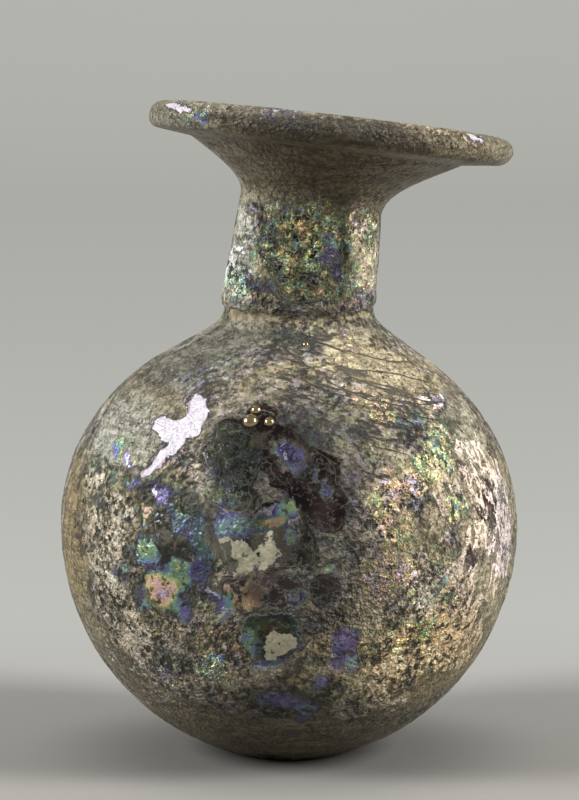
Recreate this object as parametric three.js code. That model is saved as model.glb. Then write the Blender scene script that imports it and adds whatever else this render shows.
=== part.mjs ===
// A free-blown glass jar: a globular body on a small flattened foot, a short neck that is nipped in
// where it meets the shoulder, and a wide funnel mouth with a thick folded lip. The neck leans, and
// the mouth is off centre and tips back, as on the old hand-made vessel.
// Units are millimetres. +Z is up, -Y is the front, and the origin is the middle of the resting face.

import * as THREE from "three";

// Body, outside
const bodyRadius = 42.5;
const widestHeight = 42.4; // of the widest level, above the resting face
const shoulderRise = 38.4; // from the widest level up to the crown that the neck covers
const shoulderEdgeRadius = 24.7; // where the round of the shoulder runs out into a straight slope
const shoulderTurn = 2.7; // width over which that slope turns up into the crease

// Foot: a flattened resting ring round a shallow kick
const footRadius = 11.0;
const kickRadius = 6.0;
const kickDepth = 1.2;

// Neck, outside
const creaseRise = 2.4; // of the crease at the foot of the neck, above the slope of the shoulder
const creaseRadius = 13.9;
const bulgeRise = 2.0; // from the crease up to the widest level of the neck's foot
const bulgeRadius = 14.5;
const neckHeight = 18.5; // from the crease up to the start of the funnel
const neckTopRadius = 13.3;

// Funnel and folded lip, in the mouth's own plane
const funnelHeight = 13.8; // from the top of the neck up to the middle of the lip
const funnelSlope = degrees(29);
const funnelStraight = 0.8; // share of the funnel's width that keeps the full slope
const lipRadius = 33.9;
const lipThickness = 5.6;
const lipWidth = 8.8; // from the lip's edge in to the fold
const lipUndercut = degrees(6.5); // the underside falls this much towards the fold
const foldRound = 2.2; // rounding of the folded edge inside the mouth

// Glass
const bodyWall = 2.2;
const shoulderWall = 2.8;
const baseWall = 2.8; // over the middle of the kick
const neckWall = 3.2;
const throatWall = 4.4; // at the crease, where the nip pushes glass into the bore
const funnelWall = 2.8;

// How the hot glass sagged
const neckShift = 1.9; // of the neck's foot, towards +X
const shiftRise = 12.0; // height below the crease over which the shoulder takes up the shift
const neckLean = degrees(6.5); // towards +X
const leanRise = 10.0; // height above the crease over which the neck takes up the lean
const mouthShift = 2.3; // of the lip's middle, towards +X
const mouthPitch = degrees(6.5); // the front of the lip stands up

// Facets
const sides = 56;
const outerSteps = 11; // for each half of the body
const innerSteps = 8;
const flareSteps = 6;
const lipSteps = 6;
const turnSteps = 4;
const kickSteps = 3;

// Levels that follow from the sizes above
const shoulderEdgeHeight = widestHeight + ellipseHeight(shoulderEdgeRadius, bodyRadius, shoulderRise);
const shoulderSlope = ellipseSlope(shoulderEdgeRadius, bodyRadius, shoulderRise);
const creaseHeight = shoulderEdgeHeight + (shoulderEdgeRadius - creaseRadius) * shoulderSlope + creaseRise;
const bulgeHeight = creaseHeight + bulgeRise;
const neckTopHeight = creaseHeight + neckHeight;
const lipHeight = neckTopHeight + funnelHeight;
const lipRound = lipThickness / 2;
const lipTop = lipHeight + lipRound;
const foldRadius = lipRadius - lipWidth;
const foldHeight = lipHeight - lipRound - (lipWidth - lipRound) * Math.tan(lipUndercut);

function degrees(angle) {
  return THREE.MathUtils.degToRad(angle);
}

// Height of an ellipse above its middle, at a distance from its upright axis
function ellipseHeight(radius, halfWidth, halfHeight) {
  return halfHeight * Math.sqrt(1 - (radius / halfWidth) ** 2);
}

// How much an ellipse rises there for each step towards its axis
function ellipseSlope(radius, halfWidth, halfHeight) {
  return ((halfHeight / halfWidth) ** 2 * radius) / ellipseHeight(radius, halfWidth, halfHeight);
}

function at(radius, height) {
  return new THREE.Vector2(radius, height);
}

function line(from, to) {
  return new THREE.LineCurve(from, to);
}

function curve(from, corner, to) {
  return new THREE.QuadraticBezierCurve(from, corner, to);
}

// The lower half of the body, from a distance from the axis out to the widest level
function lowerBody(halfWidth, halfHeight, fromRadius) {
  const start = -Math.acos(fromRadius / halfWidth);
  return new THREE.EllipseCurve(0, widestHeight, halfWidth, halfHeight, start, 0);
}

// The upper half of the body, from the widest level in to the edge of the shoulder
function upperBody(halfWidth, halfHeight) {
  const end = Math.acos(shoulderEdgeRadius / halfWidth);
  return new THREE.EllipseCurve(0, widestHeight, halfWidth, halfHeight, 0, end);
}

// From the shoulder's edge straight on up its slope, then up into the foot of an upright wall
function shoulderTop(halfWidth, halfHeight, wallFoot) {
  const edgeHeight = widestHeight + ellipseHeight(shoulderEdgeRadius, halfWidth, halfHeight);
  const slope = ellipseSlope(shoulderEdgeRadius, halfWidth, halfHeight);
  const onSlope = (radius) => at(radius, edgeHeight + (shoulderEdgeRadius - radius) * slope);
  const turnStart = onSlope(wallFoot.x + shoulderTurn);
  return [
    [line(onSlope(shoulderEdgeRadius), turnStart), 1],
    [curve(turnStart, onSlope(wallFoot.x), wallFoot), turnSteps],
  ];
}

// From the top of an upright wall out along the funnel's slope
function flare(wallTop, end) {
  const slope = Math.tan(funnelSlope);
  const run = end.x - wallTop.x;
  const corner = at(wallTop.x, end.y - run * slope);
  const straightStart = at(end.x - run * funnelStraight, end.y - run * funnelStraight * slope);
  return new THREE.CubicBezierCurve(wallTop, corner, straightStart, end);
}

// Points of curves that join end to end, each given with its number of steps
function pointsOf(pieces) {
  return pieces.flatMap(([piece, steps], i) => piece.getPoints(steps).slice(i ? 1 : 0));
}

// From the middle of the kick, up the outside to the top of the lip
function outerOutline() {
  const footEdge = at(footRadius, 0);
  const kickEdge = at(kickRadius, 0);
  const crease = at(creaseRadius, creaseHeight);
  const bulge = at(bulgeRadius, bulgeHeight);
  const neckTop = at(neckTopRadius, neckTopHeight);
  const fold = at(foldRadius, foldHeight);
  const lipMiddle = at(lipRadius - lipRound, lipHeight);
  const lowerReach = widestHeight / ellipseHeight(footRadius, bodyRadius, 1);
  return pointsOf([
    [curve(at(0, kickDepth), at(kickRadius / 2, kickDepth), kickEdge), kickSteps],
    [line(kickEdge, footEdge), 1],
    [lowerBody(bodyRadius, lowerReach, footRadius), outerSteps],
    [upperBody(bodyRadius, shoulderRise), outerSteps],
    ...shoulderTop(bodyRadius, shoulderRise, crease),
    [curve(crease, at(bulgeRadius, creaseHeight), bulge), 3],
    [line(bulge, neckTop), 2],
    [flare(neckTop, fold), flareSteps],
    [line(fold, at(lipMiddle.x, lipHeight - lipRound)), 1],
    [new THREE.EllipseCurve(lipMiddle.x, lipHeight, lipRound, lipRound, -Math.PI / 2, Math.PI / 2), lipSteps],
  ]);
}

// From the middle of the floor, up the inside to the inner edge of the lip's top
function innerOutline() {
  const innerRadius = bodyRadius - bodyWall;
  const innerRise = shoulderRise - shoulderWall;
  const throat = at(creaseRadius - throatWall, creaseHeight);
  const boreFoot = at(bulgeRadius - neckWall, bulgeHeight);
  const boreTop = at(neckTopRadius - neckWall, neckTopHeight);
  const foldFoot = at(foldRadius, foldHeight + funnelWall / Math.cos(funnelSlope));
  return pointsOf([
    [lowerBody(innerRadius, widestHeight - kickDepth - baseWall, 0), innerSteps],
    [upperBody(innerRadius, innerRise), innerSteps],
    ...shoulderTop(innerRadius, innerRise, throat),
    [curve(throat, at(throat.x, (creaseHeight + bulgeHeight) / 2), boreFoot), 3],
    [line(boreFoot, boreTop), 2],
    [flare(boreTop, foldFoot), flareSteps],
    [curve(foldFoot, at(foldRadius, lipTop), at(foldRadius + foldRound, lipTop)), 4],
  ]);
}

// Moves a point of the upright, round jar to where the sagging of the hot glass took it
function sag(point) {
  const open = THREE.MathUtils.clamp((point.z - neckTopHeight) / funnelHeight, 0, 1);
  const shift = THREE.MathUtils.smoothstep(point.z, creaseHeight - shiftRise, creaseHeight);
  const lean = THREE.MathUtils.smoothstep(point.z, creaseHeight, creaseHeight + leanRise);
  const pitch = THREE.MathUtils.smoothstep(open, 0, 1);
  point.x += mouthShift * open;
  turn(point, new THREE.Vector3(1, 0, 0), -mouthPitch * pitch, neckTopHeight);
  turn(point, new THREE.Vector3(0, 1, 0), neckLean * lean, creaseHeight);
  point.x += neckShift * shift;
}

// Turns a point about a level line that crosses the axis at a height
function turn(point, axis, angle, height) {
  point.z -= height;
  point.applyAxisAngle(axis, angle);
  point.z += height;
}

function jarGeometry() {
  const outlinePoints = [...outerOutline(), ...innerOutline().reverse()];
  const geometry = new THREE.LatheGeometry(outlinePoints, sides).rotateX(Math.PI / 2);
  const positions = geometry.getAttribute("position");
  const point = new THREE.Vector3();
  for (let i = 0; i < positions.count; i++) {
    sag(point.fromBufferAttribute(positions, i));
    positions.setXYZ(i, ...point);
  }
  geometry.computeVertexNormals();
  return geometry;
}

const weatheredGlass = new THREE.MeshStandardMaterial({ color: 0x5c5543, roughness: 0.45, metalness: 0.25 });

const jar = new THREE.Mesh(jarGeometry(), weatheredGlass);
jar.name = "jar";

const group = new THREE.Group();
group.add(jar);

export default group;
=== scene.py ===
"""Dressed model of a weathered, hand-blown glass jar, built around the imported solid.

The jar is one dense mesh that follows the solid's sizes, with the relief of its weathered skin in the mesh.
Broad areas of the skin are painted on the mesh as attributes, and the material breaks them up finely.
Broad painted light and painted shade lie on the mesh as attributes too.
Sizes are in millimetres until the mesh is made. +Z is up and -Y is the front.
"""

import math
from collections import namedtuple

import bpy
import numpy as np
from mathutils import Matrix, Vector


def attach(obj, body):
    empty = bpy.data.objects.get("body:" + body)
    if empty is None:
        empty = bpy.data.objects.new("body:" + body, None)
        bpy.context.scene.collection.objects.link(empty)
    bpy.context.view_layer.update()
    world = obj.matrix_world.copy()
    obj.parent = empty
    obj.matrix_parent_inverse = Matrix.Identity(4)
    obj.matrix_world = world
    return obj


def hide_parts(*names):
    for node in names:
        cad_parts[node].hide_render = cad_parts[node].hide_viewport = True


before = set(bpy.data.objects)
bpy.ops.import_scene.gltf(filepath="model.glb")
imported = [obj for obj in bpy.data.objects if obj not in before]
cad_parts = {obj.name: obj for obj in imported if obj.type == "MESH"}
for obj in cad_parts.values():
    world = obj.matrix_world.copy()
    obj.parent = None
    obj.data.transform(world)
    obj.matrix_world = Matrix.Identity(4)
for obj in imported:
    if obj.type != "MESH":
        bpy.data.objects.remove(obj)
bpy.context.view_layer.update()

MM = 0.001

# Body, outside
BODY_RADIUS = 42.5
WIDEST_HEIGHT = 42.4
SHOULDER_RISE = 38.4
SHOULDER_EDGE = 24.7
SHOULDER_TURN = 2.7

# Foot
FOOT_RADIUS = 11.0
KICK_RADIUS = 6.0
KICK_DEPTH = 1.2

# Neck, outside
CREASE_RISE = 2.4
CREASE_RADIUS = 13.9
BULGE_RISE = 2.0
BULGE_RADIUS = 14.5
NECK_HEIGHT = 18.5
NECK_TOP_RADIUS = 13.3

# Funnel and folded lip
FUNNEL_HEIGHT = 13.8
FUNNEL_SLOPE = math.radians(29)
FUNNEL_STRAIGHT = 0.8
LIP_RADIUS = 33.9
LIP_THICKNESS = 5.6
LIP_WIDTH = 8.8
LIP_UNDERCUT = math.radians(6.5)
FOLD_ROUND = 2.2

# Glass
BODY_WALL = 2.2
SHOULDER_WALL = 2.8
BASE_WALL = 2.8
NECK_WALL = 3.2
THROAT_WALL = 4.4
FUNNEL_WALL = 2.8

# How the hot glass sagged
NECK_SHIFT = 1.9
SHIFT_RISE = 12.0
NECK_LEAN = math.radians(6.5)
LEAN_RISE = 10.0
MOUTH_SHIFT = 2.3
MOUTH_PITCH = math.radians(6.5)

# Mesh
SIDES = 400
INNER_SIDES = 80
ROW = 0.86  # between rings on the outside
INNER_ROW = 3.2
FEWEST_ROWS = 3  # on a piece of the outline
TRACK_POINTS = 200  # along a piece, for measuring its length
FRONT_CROWDING = 0.34  # how much closer the meridians stand at the front
AXIS_GAP = 0.05  # radius of the small flat faces that close the mesh at its axis

# The photograph's eye, and the point on the jar's axis that its picture plane runs through
EYE = np.array([0.0, -890.1, 193.0])
AIM = np.array([0.0, 0.0, 60.0])


def ellipse_height(radius, half_width, half_height):
    return half_height * math.sqrt(1 - (radius / half_width) ** 2)


def ellipse_slope(radius, half_width, half_height):
    return (half_height / half_width) ** 2 * radius / ellipse_height(radius, half_width, half_height)


EDGE_HEIGHT = WIDEST_HEIGHT + ellipse_height(SHOULDER_EDGE, BODY_RADIUS, SHOULDER_RISE)
SHOULDER_SLOPE = ellipse_slope(SHOULDER_EDGE, BODY_RADIUS, SHOULDER_RISE)
CREASE_HEIGHT = EDGE_HEIGHT + (SHOULDER_EDGE - CREASE_RADIUS) * SHOULDER_SLOPE + CREASE_RISE
BULGE_HEIGHT = CREASE_HEIGHT + BULGE_RISE
NECK_TOP = CREASE_HEIGHT + NECK_HEIGHT
LIP_HEIGHT = NECK_TOP + FUNNEL_HEIGHT
LIP_ROUND = LIP_THICKNESS / 2
LIP_TOP = LIP_HEIGHT + LIP_ROUND
FOLD_RADIUS = LIP_RADIUS - LIP_WIDTH
FOLD_HEIGHT = LIP_HEIGHT - LIP_ROUND - (LIP_WIDTH - LIP_ROUND) * math.tan(LIP_UNDERCUT)


def smoothstep(values, low, high):
    t = np.clip((values - low) / (high - low), 0, 1)
    return t * t * (3 - 2 * t)


# Pieces of the outline, each as a function of 0..1

def line(start, end):
    start, end = np.array(start), np.array(end)
    return lambda t: start + (end - start) * t


def curve(start, corner, end):
    a, b, c = map(np.array, (start, corner, end))
    return lambda t: a * (1 - t) ** 2 + b * 2 * t * (1 - t) + c * t ** 2


def cubic(start, first, second, end):
    a, b, c, d = map(np.array, (start, first, second, end))
    return lambda t: a * (1 - t) ** 3 + b * 3 * t * (1 - t) ** 2 + c * 3 * t * t * (1 - t) + d * t ** 3


def arc(centre, half_width, half_height, start, end):
    def point(t):
        angle = start + (end - start) * t
        return np.array(centre) + (half_width * math.cos(angle), half_height * math.sin(angle))
    return point


def back(piece):
    return lambda t: piece(1 - t)


# Stretches of the outline that the outside and the inside share

def lower_body(half_width, half_height, from_radius):
    return arc((0, WIDEST_HEIGHT), half_width, half_height, -math.acos(from_radius / half_width), 0)


def upper_body(half_width, half_height):
    return arc((0, WIDEST_HEIGHT), half_width, half_height, 0, math.acos(SHOULDER_EDGE / half_width))


def shoulder_top(half_width, half_height, wall_foot):
    edge_height = WIDEST_HEIGHT + ellipse_height(SHOULDER_EDGE, half_width, half_height)
    slope = ellipse_slope(SHOULDER_EDGE, half_width, half_height)

    def on_slope(radius):
        return radius, edge_height + (SHOULDER_EDGE - radius) * slope

    turn_start = on_slope(wall_foot[0] + SHOULDER_TURN)
    return [line(on_slope(SHOULDER_EDGE), turn_start), curve(turn_start, on_slope(wall_foot[0]), wall_foot)]


def flare(wall_top, end):
    slope = math.tan(FUNNEL_SLOPE)
    run = end[0] - wall_top[0]
    corner = (wall_top[0], end[1] - run * slope)
    straight_start = (end[0] - run * FUNNEL_STRAIGHT, end[1] - run * FUNNEL_STRAIGHT * slope)
    return cubic(wall_top, corner, straight_start, end)


def fold_foot():
    return FOLD_RADIUS, FOLD_HEIGHT + FUNNEL_WALL / math.cos(FUNNEL_SLOPE)


def bore_top():
    return NECK_TOP_RADIUS - NECK_WALL, NECK_TOP


def rows_of(pieces, spacing):
    """Points along the pieces, spaced evenly on each."""
    points = [pieces[0](0.0)]
    shares = np.linspace(0, 1, TRACK_POINTS)
    for piece in pieces:
        track = np.array([piece(t) for t in shares])
        strides = np.linalg.norm(np.diff(track, axis=0), axis=1)
        length = np.concatenate([[0], np.cumsum(strides)])
        steps = max(FEWEST_ROWS, round(length[-1] / spacing))
        for i in range(1, steps + 1):
            points.append(piece(np.interp(length[-1] * i / steps, length, shares)))
    return np.array(points)


def outer_outline():
    """From the kick's middle up the outside, over the lip and down the mouth to the top of the bore."""
    lower_reach = WIDEST_HEIGHT / ellipse_height(FOOT_RADIUS, BODY_RADIUS, 1)
    crease, bulge = (CREASE_RADIUS, CREASE_HEIGHT), (BULGE_RADIUS, BULGE_HEIGHT)
    neck_top, fold = (NECK_TOP_RADIUS, NECK_TOP), (FOLD_RADIUS, FOLD_HEIGHT)
    lip_middle = LIP_RADIUS - LIP_ROUND
    return rows_of([
        curve((AXIS_GAP, KICK_DEPTH), (KICK_RADIUS / 2, KICK_DEPTH), (KICK_RADIUS, 0)),
        line((KICK_RADIUS, 0), (FOOT_RADIUS, 0)),
        lower_body(BODY_RADIUS, lower_reach, FOOT_RADIUS),
        upper_body(BODY_RADIUS, SHOULDER_RISE),
        *shoulder_top(BODY_RADIUS, SHOULDER_RISE, crease),
        curve(crease, (BULGE_RADIUS, CREASE_HEIGHT), bulge),
        line(bulge, neck_top),
        flare(neck_top, fold),
        line(fold, (lip_middle, LIP_HEIGHT - LIP_ROUND)),
        arc((lip_middle, LIP_HEIGHT), LIP_ROUND, LIP_ROUND, -math.pi / 2, math.pi / 2),
        line((lip_middle, LIP_TOP), (FOLD_RADIUS + FOLD_ROUND, LIP_TOP)),
        curve((FOLD_RADIUS + FOLD_ROUND, LIP_TOP), (FOLD_RADIUS, LIP_TOP), fold_foot()),
        back(flare(bore_top(), fold_foot())),
    ], ROW)


def inner_outline():
    """From below the top of the bore down to the middle of the floor."""
    inner_radius, inner_rise = BODY_RADIUS - BODY_WALL, SHOULDER_RISE - SHOULDER_WALL
    throat = (CREASE_RADIUS - THROAT_WALL, CREASE_HEIGHT)
    bore_foot = (BULGE_RADIUS - NECK_WALL, BULGE_HEIGHT)
    rows = rows_of([
        lower_body(inner_radius, WIDEST_HEIGHT - KICK_DEPTH - BASE_WALL, AXIS_GAP),
        upper_body(inner_radius, inner_rise),
        *shoulder_top(inner_radius, inner_rise, throat),
        curve(throat, (throat[0], (CREASE_HEIGHT + BULGE_HEIGHT) / 2), bore_foot),
        line(bore_foot, bore_top()),
    ], INNER_ROW)
    return rows[-2::-1]


def turned(across, z, angle, height):
    """Turns points about a level line that crosses the axis at a height."""
    up = z - height
    c, s = np.cos(angle), np.sin(angle)
    return across * c + up * s, height - across * s + up * c


def sag(x, y, z):
    """Where the sagging of the hot glass took the points of the upright, round jar."""
    opening = np.clip((z - NECK_TOP) / FUNNEL_HEIGHT, 0, 1)
    shift = smoothstep(z, CREASE_HEIGHT - SHIFT_RISE, CREASE_HEIGHT)
    lean = smoothstep(z, CREASE_HEIGHT, CREASE_HEIGHT + LEAN_RISE)
    x = x + MOUTH_SHIFT * opening
    y, z = turned(y, z, MOUTH_PITCH * smoothstep(opening, 0, 1), NECK_TOP)
    x, z = turned(x, z, NECK_LEAN * lean, CREASE_HEIGHT)
    return x + NECK_SHIFT * shift, y, z


def rings(outline, sides):
    """The outline turned about the axis and sagged, as rings of points."""
    even = np.arange(sides) * 2 * math.pi / sides
    turn = even + FRONT_CROWDING * np.sin(even) - math.pi / 2
    r, z = outline[:, :1], np.repeat(outline[:, 1:], sides, axis=1)
    return np.stack(sag(r * np.cos(turn), r * np.sin(turn), z), axis=-1)


# Noise on points, from random values on a lattice that repeats

LATTICE = 48
OCTAVE_SHIFT = 7.3  # so that octaves don't line up


def noise(points, size, seed, octaves=1):
    """Smooth noise of about -1..1 with features of a size.

    Each further octave has half the size and half the strength.
    """
    total, strength = 0, 1.0
    for octave in range(octaves):
        values = np.random.default_rng(seed + octave).uniform(-1, 1, (LATTICE,) * 3)
        at = points / (size / 2 ** octave) + OCTAVE_SHIFT * (octave + 1)
        cell = np.floor(at).astype(int)
        t = at - cell
        t = t * t * (3 - 2 * t)
        layer = 0
        for corner in np.ndindex(2, 2, 2):
            weight = np.prod(np.where(np.array(corner) == 1, t, 1 - t), axis=-1)
            i, j, k = np.moveaxis((cell + corner) % LATTICE, -1, 0)
            layer = layer + weight * values[i, j, k]
        total, strength = total + layer * strength, strength / 2
    return total


# Painting of the broad areas. Each patch is an ellipse in a view's picture plane, with its middle across
# from the jar's axis and above its foot, its half sizes and its turn in degrees. Some also say which colour
# lies there, as a place on the range of colours of their kind, and how bright it is.

Patch = namedtuple("Patch", "across height half_width half_height turn hue tone", defaults=(0, None, None))

# Film colours in the order in which a thickening film shows them, as places on the material's ramp
NAVY, VIOLET, BLUE, TEAL, GREEN, LIME, GOLD, PEACH, PINK, LILAC, SILVER = (i / 10 for i in range(11))

# Places on the bare glass's own range of colours, from green-black to dark red-brown
MOSSY, RUSTY = 0.1, 0.9

# Silvery, mirror-bright film. Its brightness is partly the film's own and partly painted: a painted
# reflection of the left light on the upper left, and painted highlights on the top of the lip.
MIRROR_AND_HIGHLIGHT_PATCHES = [Patch(*row) for row in (
    (-17.4, 62.4, 2.3, 4.1, -25, LILAC, 1),
    (-20, 59.4, 2.8, 2.2, 0, LILAC, 1),
    (-22.6, 58.4, 2.5, 3.5, 20, SILVER, 1),
    (-21.6, 55, 1.8, 2.2, -30, LILAC, 1),
    (-23.6, 53.2, 3.2, 1.2, 38, LILAC, 0.9),
    (-21.4, 118.2, 3.4, 0.9, -4, SILVER, 0.8),
    (34, 113.6, 4.6, 0.9, -20, SILVER, 0.8),
)]

FILM_PATCHES = [Patch(*row) for row in (
    (-18.2, 117.3, 1.9, 1.2, 0, GREEN, 1.1),
    (-17, 116.8, 1, 1.2, 0, 0.12, 1.2),
    (-30, 53.6, 1.3, 3.2, 10, 0.92, 0.5),
    (-25.4, 48, 3.8, 1.4, -25, 0.14, 0.9),
    (-26, 43.9, 1.5, 1.8, 0, PEACH, 0.5),
    (-20.6, 42.8, 1.8, 2.8, 0, 0.36, 0.5),
    (-26.2, 36.8, 2.4, 3.2, 0, 0.36, 0.85),
    (-29.6, 33, 1.3, 2.5, 0, 0.34, 0.7),
    (-16.4, 37.4, 1.3, 6.4, 8, 0.37, 0.35),
    (-20, 31.8, 2, 2.8, 0, 0.43, 0.75),
    (-24.4, 26, 3.2, 1.4, 0, 0.47, 0.7),
    (-27.6, 28, 0.9, 2, 0, BLUE, 0.6),
    (-18.9, 24.7, 1.2, 1.8, 0, 0.12, 0.75),
    (-23.7, 29.8, 3, 3, 0, PEACH, 1),
    (-12.6, 41, 1.9, 2.9, 15, 0.31, 0.8),
    (-9.4, 41.4, 2.2, 2.4, 0, TEAL, 0.6),
    (-5.2, 42, 2.6, 1.6, 0, GREEN, 0.3),
    (0.5, 44.4, 2.6, 1.7, 35, 0.44, 1.6),
    (-2.2, 41.3, 1.7, 1.2, 0, 0.8, 1),
    (0.4, 38.5, 1.7, 1.4, 0, 0.44, 1.1),
    (-7, 29, 2.2, 2.2, 0, PEACH, 0.34),
    (-3.2, 31, 2.2, 2.2, 0, PINK, 0.36),
    (0.4, 27.6, 1.6, 1.5, 0, NAVY, 0.6),
    (-7, 26.8, 0.9, 0.8, 0, 0.68, 0.8),
    (-12.4, 25.4, 1.2, 3, -15, 0.27, 0.75),
    (-15.8, 22.4, 1.4, 0.8, 0, 0.86, 0.6),
    (-3.3, 20.8, 5, 4, 0, 0.36, 0.14),
    (-7, 19.2, 1.2, 1.8, 0, TEAL, 0.6),
    (-4.6, 15.8, 1.8, 0.8, 0, 0.1, 0.7),
    (-1.2, 8.4, 6.4, 1.9, -14, 0.13, 1.5),
    (3.2, 6.4, 2.2, 1.2, 0, TEAL, 1.3),
    (10, 18.2, 2.4, 3, 0, 0.12, 1),
    (11.8, 15.6, 1.6, 1.3, 0, TEAL, 1),
    (6.9, 12.3, 1.7, 1.5, 0, 0.17, 1.2),
    (1.6, 53.8, 4.4, 2.6, -48, 0.11, 1.3),
    (6.4, 47.8, 1.6, 2.8, 30, 0.12, 1),
    (7.1, 33.4, 1.2, 0.9, 0, LIME, 2.4),
    (-5.6, 85.4, 2.2, 1, 0, 0.15, 0.6),
    (6.9, 93.4, 1.3, 1, 0, GREEN, 0.6),
    (7.4, 91.4, 1.1, 1.6, -20, 0.07, 0.9),
    (8.4, 89, 0.8, 1.9, 0, 0.13, 0.8),
)]

CREAM_PATCHES = [Patch(*row) for row in (
    (-9.6, 36.4, 4, 2.2, -20),
    (-7.6, 33.8, 3, 2.2),
    (-2.4, 37, 3.1, 2.4, 10),
    (-3.8, 34.4, 2.2, 1.4),
    (-2, 18.6, 2.1, 1.6),
    (-13.5, 23.6, 1.7, 0.35, 5),
)]

GLASS_PATCHES = [Patch(*row) for row in (
    (-5, 60.8, 3.6, 2.8, 0, RUSTY),
    (2, 52, 5.6, 12, 38, RUSTY),
    (7.6, 44.8, 4.4, 4.6, 20, RUSTY),
    (-10.2, 46.4, 5, 3.6, 0, MOSSY),
    (-10, 53.4, 6, 7, 0, MOSSY),
    (-1.4, 42, 5.4, 3.6, 0, MOSSY),
    (-7.4, 36.2, 6.4, 4.2, 0, MOSSY),
    (1.6, 37.6, 4.6, 5, 0, MOSSY),
    (6.6, 29, 2.6, 3, 0, RUSTY),
    (-3.4, 20.6, 6, 5),
    (-8.6, 28.4, 4.6, 3.6, 0, RUSTY),
    (-1.6, 28.6, 4.4, 3.4, 0, RUSTY),
    (-16, 36, 2.6, 8.6),
    (-21.6, 37.6, 4.6, 6.6),
    (-22.6, 28.6, 5.4, 5),
    (34.2, 35.8, 2.2, 2.6),
    (37, 45, 1.8, 4.6, 8),
    (0.5, 8.4, 7.4, 2.4, -10),
    (2.2, 84.2, 4.6, 2.4),
    (2.6, 93, 8, 6.4),
)]

FLAKE_PATCHES = [Patch(*row) for row in (
    (-18.8, 53.4, 1.6, 1.3, 20, 0.82, 0.8),
    (-10, 53.6, 5, 5.6, 0, 0.42, 0.3),
    (-12, 47, 4, 2.6, 0, 0.38, 0.45),
    (-14.6, 14.9, 3.6, 2.4, 0, 0.33, 1.2),
    (-22.9, 13, 1.7, 4, 25, 0.12, 0.9),
    (18, 62, 8, 2.4, -28, 0.66, 0.7),
    (27, 63.9, 3.2, 1.9, -35, 0.88, 1.4),
    (22.4, 60.2, 2.5, 1.7, 0, 0.2, 1.2),
    (27.4, 54.4, 3.4, 5, -8, 0.5, 1.4),
    (27, 56.6, 1, 1.4, 0, 0.24, 1.3),
    (22.2, 48.6, 4.4, 2.8, -10, 0.71, 1.5),
    (19.2, 43.8, 3.8, 6.8, 0, 0.63, 1),
    (31, 43, 2.2, 2.8, 0, LIME, 1.3),
    (18.7, 32.6, 4.6, 5.6, 0, 0.74, 0.55),
    (23.3, 31.4, 1.1, 3.8, 0, 0.62, 1.5),
    (40, 38.4, 2.4, 8.4, 4, 0.92, 1),
    (24, 20.6, 4.8, 2.4, 24, 0.55, 0.8),
    (30.4, 27, 2.8, 4.2, -12, 0.58, 0.8),
    (15.4, 5.4, 2, 0.8, 0, 0.36, 0.6),
    (11.4, 75.8, 0.9, 3.6, 34, 0.8, 0.5),
    (4.6, 92, 11.4, 9.6, 0, 0.46, 0.5),
    (-4, 99.2, 1.6, 1.2, 0, 0.67, 1.5),
    (2, 94.6, 7, 6, 0, 0.43, 1.1),
    (-2.4, 94.6, 1.4, 2.2, 0, 0.28, 0.6),
    (13.8, 97, 2.6, 4.6, 0, 0.64, 1.5),
    (14.8, 90, 2, 6, 3, 0.6, 1),
    (12.8, 82.6, 3.2, 1.8, 0, 0.92, 0.8),
    (-3.4, 117.2, 5, 1.3, -3, 0.95, 0.9),
    (-8.8, 85.4, 2.8, 3.4, 0, 0.5, 1),
)]

CRUST_PATCHES = [Patch(*row) for row in (
    (-35.6, 49.6, 3, 1.6, 0, None, 1),
    (-33.2, 42, 3.8, 7, -4, None, 0.8),
    (-33, 31, 3, 8, 8, None, 0.7),
    (-29.6, 19, 4, 6, 20, None, 0.7),
    (-21.4, 11.6, 6, 4, 30, None, 0.5),
    (-14, 50.6, 6, 3, 0, None, 0.5),
    (28.4, 27.4, 4.4, 6, -12, None, 0.85),
    (25, 18.2, 11.6, 5.8, 24, None, 1),
    (15.4, 7.6, 6.8, 2.8, 14, None, 0.75),
    (29.6, 48, 2.4, 7, 14, None, 0.9),
    (-10.2, 88.6, 1.8, 5, 2, None, 0.7),
    (-10, 118.2, 6, 1.2, -2, None, 0.9),
    (14, 116.2, 16, 1, -10, None, 0.6),
)]

# Winding strips of pale crust, which are what is left between islands where the crust has gone
STRIP_PATCHES = [Patch(*row) for row in (
    (35.4, 49.4, 3.6, 8, 14, PEACH, 1),
    (35.6, 34, 5, 8, -10, PEACH, 1),
    (39.8, 40, 2.4, 11, 4, SILVER, 1),
    (32, 22, 4, 6, -24, GOLD, 0.9),
)]

SMOOTH_PATCHES = [Patch(*row) for row in (
    (25.8, 42.6, 2.3, 3.6),
    (8.8, 44.6, 2, 3.6, -20),
    (20, 70, 8, 2.6, -24),
    (33, 58, 3.6, 8, 24),
    (36, 40, 4.6, 15, 2),
    (0, 3.4, 14, 2.6),
    (-29, 60, 7, 9, -30),
    (-15, 74.6, 9, 3.4, 26),
    (16, 71, 11, 4.2, -30),
    (-9, 77, 7, 2, 12),
    (11, 77.6, 6, 1.8, -12),
    (-9.8, 96, 2.4, 9, 2),
)]

WRINKLE_PATCHES = [Patch(*row) for row in (
    (14, 68, 18, 7, -24),
    (5, 66, 10, 4.6, -24),
    (17, 56, 6, 8, -20),
)]

# What the photograph's eye sees, in the order in which it is painted
FRONT = {
    "smooth": SMOOTH_PATCHES,
    "glass": GLASS_PATCHES,
    "crust": CRUST_PATCHES,
    "flake": FLAKE_PATCHES,
    "strip": STRIP_PATCHES,
    "film": FILM_PATCHES,
    "cream": CREAM_PATCHES,
    "mirror": MIRROR_AND_HIGHLIGHT_PATCHES,
    "wrinkle": WRINKLE_PATCHES,
}
KINDS = tuple(FRONT)

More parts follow.
